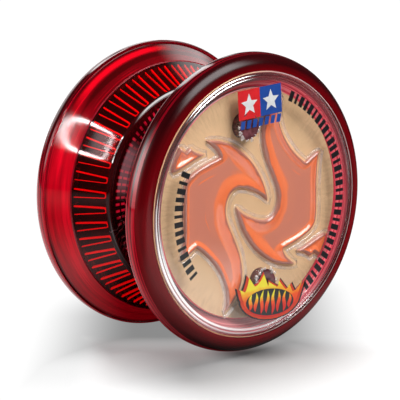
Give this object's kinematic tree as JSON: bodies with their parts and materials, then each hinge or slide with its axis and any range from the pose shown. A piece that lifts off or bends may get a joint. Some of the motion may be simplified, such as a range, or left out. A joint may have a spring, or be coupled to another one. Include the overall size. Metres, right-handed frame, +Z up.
{
  "type": "yo-yo",
  "caption": "Butterfly yo-yo with a ball bearing, a take-apart screw axle and translucent halves with clear caps over swirling flame inserts.",
  "frame": {"origin": "on the spin axis, midway between the two halves, which is the centre of the yo-yo's box", "axes": "Y is the spin axis and the front cap faces -Y; Z is up when the yo-yo stands on its two rims; X is across, to the right seen from the front"},
  "size_m": [0.057, 0.0332, 0.057],
  "materials": {
    "red_shell": "translucent deep red, polished",
    "hub_cup": "black, smooth",
    "backing_disc": "beige satin",
    "flame": "translucent orange, polished",
    "clear_cap": "clear acrylic, polished",
    "plated_steel": "zinc plated",
    "seat_metal": "turned",
    "bearing_steel": "polished",
    "cage_brass": "satin",
    "response_rubber": "matt silicone",
    "string_cotton": "twisted cotton"
  },
  "bodies": {
    "rear_half": {"rear_half_shell": "red_shell", "rear_hub_cup": "hub_cup", "rear_backing_disc": "backing_disc", "rear_flames": "flame", "rear_flame_tips": "flame", "rear_cap": "clear_cap", "rear_axle_nut": "plated_steel", "rear_bearing_seat": "seat_metal", "rear_response_ring": "response_rubber", "axle": "plated_steel", "bearing_inner_race": "bearing_steel"},
    "front_half": {"front_half_shell": "red_shell", "front_hub_cup": "hub_cup", "front_backing_disc": "backing_disc", "front_flames": "flame", "front_flame_tips": "flame", "front_cap": "clear_cap", "front_axle_nut": "plated_steel", "front_response_ring": "response_rubber"},
    "front_seat": {"front_bearing_seat": "seat_metal"},
    "bearing_ring": {"bearing_outer_race": "bearing_steel", "front_bearing_shield": "bearing_steel", "rear_bearing_shield": "bearing_steel", "front_shield_clip": "bearing_steel", "rear_shield_clip": "bearing_steel", "string": "string_cotton"},
    "ball_set": {"bearing_balls": "bearing_steel", "bearing_cage": "cage_brass"}
  },
  "joints": [
    {"name": "string_spin", "type": "hinge", "parent": "rear_half", "child": "bearing_ring", "pos_m": [0, 0, 0], "axis": [0, 1, 0], "continuous": true},
    {"name": "ball_set_spin", "type": "hinge", "parent": "rear_half", "child": "ball_set", "pos_m": [0, 0, 0], "axis": [0, 1, 0], "continuous": true},
    {"name": "front_half_travel", "type": "slide", "parent": "rear_half", "child": "front_seat", "axis": [0, -1, 0], "range_m": [0, 0.0036]},
    {"name": "front_half_turn", "type": "hinge", "parent": "front_seat", "child": "front_half", "pos_m": [0, 0, 0], "axis": [0, -1, 0], "range_deg": [0, 1851]}
  ],
  "couplings": [
    {"joint": "ball_set_spin", "follows": "string_spin", "ratio": 0.58337},
    {"joint": "front_half_travel", "follows": "front_half_turn", "m_per_rad": 0.00011141}
  ]
}
